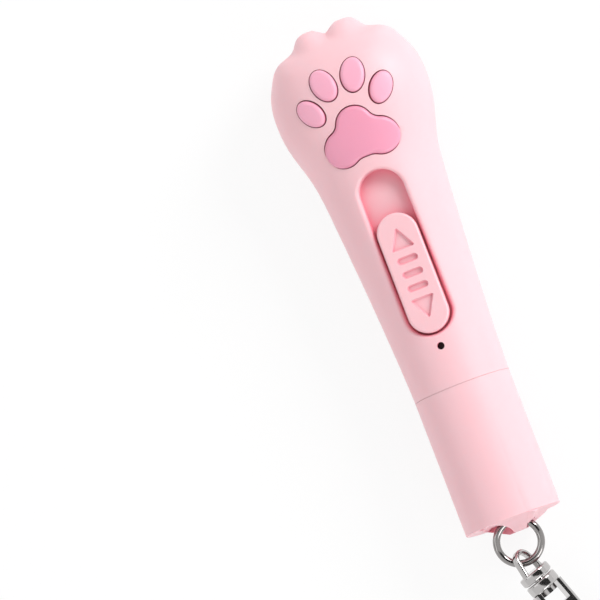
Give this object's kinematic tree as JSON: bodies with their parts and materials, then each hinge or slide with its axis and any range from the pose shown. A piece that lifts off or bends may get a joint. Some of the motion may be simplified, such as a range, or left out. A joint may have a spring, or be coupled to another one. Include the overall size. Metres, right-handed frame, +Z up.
{
  "type": "cat laser toy",
  "caption": "Cat-paw laser pen with raised paw pads, a thumb slider in a recess, a pull-off cap over a USB plug, and a swivel lobster clasp on a jump ring.",
  "frame": {"origin": "on the flat of the paw's back, under the paw's widest place; the pen lies on its back with the pads up", "axes": "+Y along the barrel to the toes, +Z up out of the pads, +X to the right seen from above"},
  "size_m": [0.0318, 0.1465, 0.0228],
  "materials": {
    "pink_plastic": "soft satin moulding",
    "pad_pink": "soft matt moulding",
    "clear_plastic": "smoked clear moulding",
    "white_plastic": "natural moulding",
    "black_plastic": "moulded",
    "red_plastic": "wire insulation",
    "board_green": "solder mask",
    "foam_tape": "double-sided foam tape",
    "foil": "laminated pouch foil",
    "steel": "plain",
    "brass": "turned or gilt",
    "lens_glass": "polished",
    "chrome": "bright nickel plate"
  },
  "bodies": {
    "casing": {"paw_front_shell": "pink_plastic", "paw_back_shell": "pink_plastic", "palm_pad": "pad_pink", "toe_pad_outer_left": "pad_pink", "toe_pad_inner_left": "pad_pink", "toe_pad_inner_right": "pad_pink", "toe_pad_outer_right": "pad_pink", "indicator_light_pipe": "clear_plastic", "main_board": "board_green", "board_screws": "steel", "indicator_led": "white_plastic", "charge_chip": "black_plastic", "battery_cell": "foil", "battery_tape": "foam_tape", "battery_lead_red": "red_plastic", "battery_lead_black": "black_plastic", "laser_lead_red": "red_plastic", "laser_lead_black": "black_plastic", "laser_barrel": "brass", "laser_diode": "steel", "collimator_lens": "lens_glass", "lens_ring": "brass", "aperture_bezel": "black_plastic", "aperture_window": "lens_glass", "usb_collar": "white_plastic", "usb_shell": "steel", "usb_tongue": "white_plastic", "usb_contacts": "brass"},
    "slider": {"mode_slider": "pink_plastic", "contact_carriage": "white_plastic", "wiper_contact": "brass"},
    "cap": {"tail_cap": "pink_plastic"},
    "ring": {"jump_ring": "chrome"},
    "eye": {"swivel_eye": "chrome"},
    "clasp": {"clasp_body": "chrome", "gate_pin": "chrome", "gate_spring": "steel"},
    "gate": {"clasp_gate": "chrome"}
  },
  "joints": [
    {"name": "mode_slide", "type": "slide", "parent": "casing", "child": "slider", "axis": [0, 1, 0], "range_m": [0, 0.0089]},
    {"name": "cap_pull", "type": "slide", "parent": "casing", "child": "cap", "axis": [0, -1, 0], "range_m": [0, 0.03]},
    {"name": "ring_swing", "type": "hinge", "parent": "cap", "child": "ring", "pos_m": [-0.0006, -0.08995, 0.01], "axis": [1, 0, 0], "range_deg": [-38, 26]},
    {"name": "eye_swing", "type": "hinge", "parent": "ring", "child": "eye", "pos_m": [-0.0006, -0.09437, 0.00927], "axis": [0, -0.1638, 0.9865], "range_deg": [-46, 56]},
    {"name": "clasp_swivel", "type": "hinge", "parent": "eye", "child": "clasp", "pos_m": [-0.00099, -0.09877, 0.00854], "axis": [0.3173, -0.9355, -0.1553], "continuous": true},
    {"name": "gate_hinge", "type": "hinge", "parent": "clasp", "child": "gate", "pos_m": [0.00047, -0.11663, 0.00715], "axis": [0.3243, -0.0469, 0.9448], "range_deg": [0, 24], "stiffness_Nm_per_rad": 0.02, "springref_deg": -17.19, "deforming": ["gate_spring"]}
  ]
}
